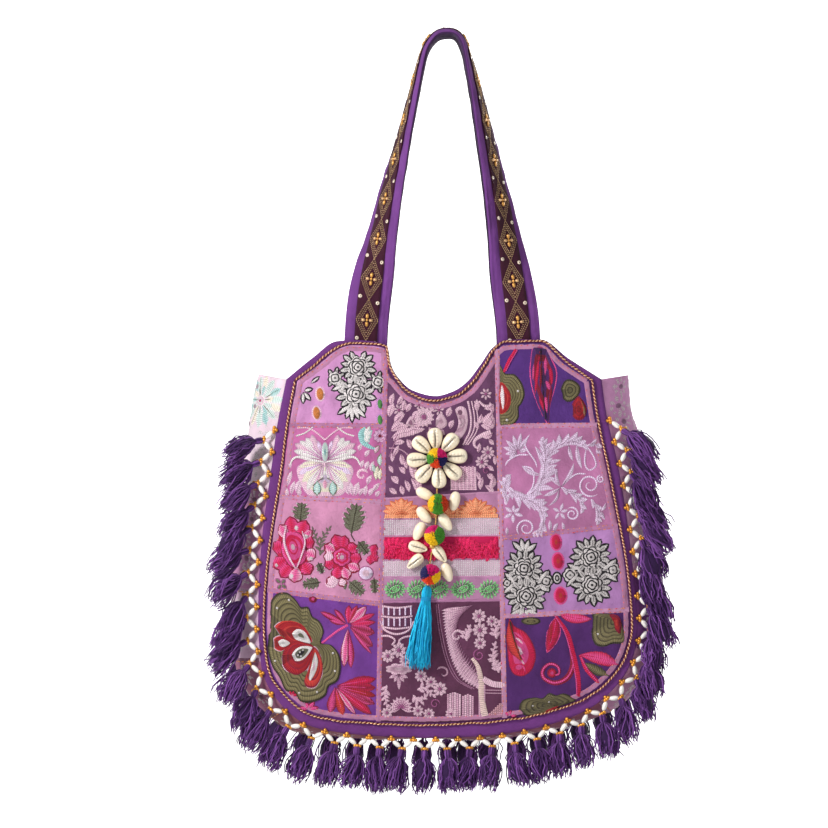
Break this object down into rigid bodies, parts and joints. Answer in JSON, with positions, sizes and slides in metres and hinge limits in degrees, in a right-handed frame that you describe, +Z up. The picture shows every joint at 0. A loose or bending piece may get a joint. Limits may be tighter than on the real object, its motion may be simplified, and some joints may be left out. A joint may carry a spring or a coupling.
{
  "type": "patchwork tote bag",
  "caption": "Purple shoulder tote with a patchwork front, scooped mouth, soft gusset, long straps, a beaded tassel fringe and a hanging cowrie and pompom charm.",
  "frame": {"origin": "underside of the two strap crowns, midway between the straps, where a hook or shoulder carries the bag", "axes": "+Z up, +Y from the patchwork front to the plain back, +X to the right as the front is seen"},
  "size_m": [0.4688, 0.1569, 0.7685],
  "materials": {
    "purple_cotton": "matt cotton",
    "gusset_patchwork": "matt patchwork cotton",
    "lilac_cloth": "matt embroidered cotton",
    "lotus_cloth": "satin stitch on cotton",
    "pink_cloth": "matt embroidered cotton",
    "violet_cloth": "matt embroidered cotton",
    "mauve_print": "matt printed cotton",
    "orange_lace": "satin thread lace",
    "silver_braid": "metallic woven braid",
    "magenta_lace": "satin thread lace",
    "green_lace": "satin thread lace",
    "gold_cord": "twisted metallic thread",
    "zari_ribbon": "woven ribbon with metallic thread and beads",
    "tassel_thread": "cotton thread",
    "cowrie_shell": "natural gloss shell",
    "pompom_wool": "many-coloured wool",
    "turquoise_thread": "viscose thread"
  },
  "bodies": {
    "root": {"front_panel": "purple_cotton", "back_panel": "purple_cotton", "gusset": "gusset_patchwork", "patch_white_rose": "lilac_cloth", "patch_lotus": "lotus_cloth", "patch_pink_rose": "pink_cloth", "patch_peony": "violet_cloth", "patch_vine": "mauve_print", "lace_orange": "orange_lace", "lace_silver_upper": "silver_braid", "lace_magenta": "magenta_lace", "lace_silver_lower": "silver_braid", "lace_green": "green_lace", "patch_garden": "mauve_print", "patch_bud": "violet_cloth", "patch_scroll": "lilac_cloth", "patch_silver_rose": "lilac_cloth", "patch_stem": "violet_cloth", "edge_cord": "gold_cord", "strap_front": "purple_cotton", "strap_trim_front": "zari_ribbon", "strap_back": "purple_cotton", "strap_trim_back": "zari_ribbon", "fringe_front": "tassel_thread", "fringe_back": "tassel_thread", "flower_shell_1": "cowrie_shell", "flower_shell_2": "cowrie_shell", "flower_shell_3": "cowrie_shell", "flower_shell_4": "cowrie_shell", "flower_shell_5": "cowrie_shell", "flower_shell_6": "cowrie_shell", "flower_shell_7": "cowrie_shell", "flower_shell_8": "cowrie_shell", "flower_pompom": "pompom_wool", "charm_shell_1": "cowrie_shell", "charm_shell_2": "cowrie_shell", "charm_shell_3": "cowrie_shell", "charm_shell_4": "cowrie_shell", "charm_shell_5": "cowrie_shell", "charm_shell_6": "cowrie_shell", "charm_shell_7": "cowrie_shell", "charm_shell_8": "cowrie_shell", "charm_shell_9": "cowrie_shell", "charm_pompom_1": "pompom_wool", "charm_pompom_2": "pompom_wool", "charm_pompom_3": "pompom_wool", "charm_cord": "gold_cord", "charm_tassel": "turquoise_thread"}
  },
  "joints": []
}
